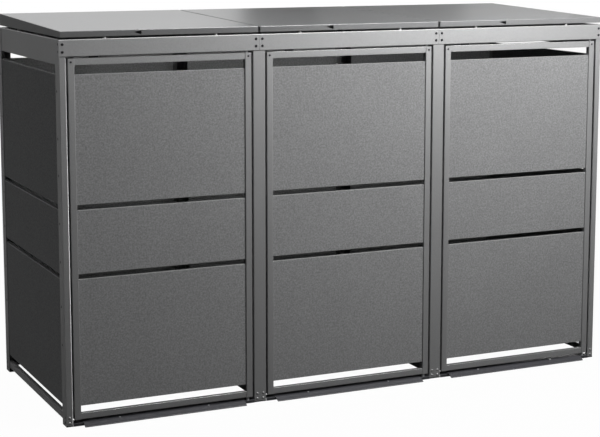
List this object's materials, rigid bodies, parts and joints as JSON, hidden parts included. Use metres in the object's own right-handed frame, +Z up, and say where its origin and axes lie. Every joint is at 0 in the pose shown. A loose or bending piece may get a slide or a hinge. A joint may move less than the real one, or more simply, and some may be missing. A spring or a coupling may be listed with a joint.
{
  "type": "wheelie bin store",
  "caption": "Outdoor store of folded sheet steel for wheelie bins: bays side by side, each with a slatted swing door and a lift-up lid.",
  "frame": {"origin": "bottom centre of the whole store, on the ground", "axes": "+X along the row of bays to the right, seen from the doors; +Y from the doors to the back; +Z up"},
  "size_m": [2.07, 0.799, 1.3154],
  "materials": {
    "frame_steel": "fine textured powder coat, anthracite grey",
    "panel_steel": "fine textured powder coat, anthracite grey",
    "lid_steel": "fine textured powder coat, anthracite grey",
    "ramp_steel": "satin black powder coat",
    "zinc_steel": "bright zinc plated",
    "bumper_plastic": "matt, soft rubber",
    "black_plastic": "matt"
  },
  "bodies": {
    "frame": {"base_rails": "frame_steel", "corner_post_front_left": "frame_steel", "corner_post_front_right": "frame_steel", "corner_post_rear_left": "frame_steel", "corner_post_rear_right": "frame_steel", "cross_rails": "frame_steel", "door_catches": "black_plastic", "door_pivot_nuts": "zinc_steel", "door_pivot_pins": "zinc_steel", "front_rail_left": "frame_steel", "front_rail_middle": "frame_steel", "front_rail_right": "frame_steel", "front_sills": "frame_steel", "lid_hinge_frame_leaves": "zinc_steel", "lid_hinge_pins": "zinc_steel", "mid_post_front_left": "frame_steel", "mid_post_front_right": "frame_steel", "mid_post_rear_left": "frame_steel", "mid_post_rear_right": "frame_steel", "post_feet": "black_plastic", "rail_bumpers": "bumper_plastic", "ramps": "ramp_steel", "rear_base_rails": "frame_steel", "rear_rails": "frame_steel", "rear_slats": "panel_steel", "side_rail_left": "frame_steel", "side_rail_right": "frame_steel", "side_slats_left": "panel_steel", "side_slats_right": "panel_steel"},
    "door_left": {"door_left_bottom_rail": "frame_steel", "door_left_lower_slat": "panel_steel", "door_left_middle_slat": "panel_steel", "door_left_stiles": "frame_steel", "door_left_top_rail": "frame_steel", "door_left_upper_slat": "panel_steel"},
    "lid_left": {"lid_left_hinge_leaves": "zinc_steel", "lid_left_stiffener": "lid_steel", "lid_left_tray": "lid_steel"},
    "door_middle": {"door_middle_bottom_rail": "frame_steel", "door_middle_lower_slat": "panel_steel", "door_middle_middle_slat": "panel_steel", "door_middle_stiles": "frame_steel", "door_middle_top_rail": "frame_steel", "door_middle_upper_slat": "panel_steel"},
    "lid_middle": {"lid_middle_hinge_leaves": "zinc_steel", "lid_middle_stiffener": "lid_steel", "lid_middle_tray": "lid_steel"},
    "door_right": {"door_right_bottom_rail": "frame_steel", "door_right_lower_slat": "panel_steel", "door_right_middle_slat": "panel_steel", "door_right_stiles": "frame_steel", "door_right_top_rail": "frame_steel", "door_right_upper_slat": "panel_steel"},
    "lid_right": {"lid_right_hinge_leaves": "zinc_steel", "lid_right_stiffener": "lid_steel", "lid_right_tray": "lid_steel"}
  },
  "joints": [
    {"name": "door_left_hinge", "type": "hinge", "parent": "frame", "child": "door_left", "pos_m": [-0.3885, -0.3645, 0.61365], "axis": [0, 0, 1], "range_deg": [0, 110]},
    {"name": "door_middle_hinge", "type": "hinge", "parent": "frame", "child": "door_middle", "pos_m": [0.3015, -0.3645, 0.61365], "axis": [0, 0, 1], "range_deg": [0, 110]},
    {"name": "door_right_hinge", "type": "hinge", "parent": "frame", "child": "door_right", "pos_m": [0.9915, -0.3645, 0.61365], "axis": [0, 0, 1], "range_deg": [0, 110]},
    {"name": "lid_left_hinge", "type": "hinge", "parent": "frame", "child": "lid_left", "pos_m": [-0.69, 0.3833, 1.2701], "axis": [-1, 0, 0], "range_deg": [0, 100]},
    {"name": "lid_middle_hinge", "type": "hinge", "parent": "frame", "child": "lid_middle", "pos_m": [0, 0.3833, 1.2701], "axis": [-1, 0, 0], "range_deg": [0, 100]},
    {"name": "lid_right_hinge", "type": "hinge", "parent": "frame", "child": "lid_right", "pos_m": [0.69, 0.3833, 1.2701], "axis": [-1, 0, 0], "range_deg": [0, 100]}
  ]
}
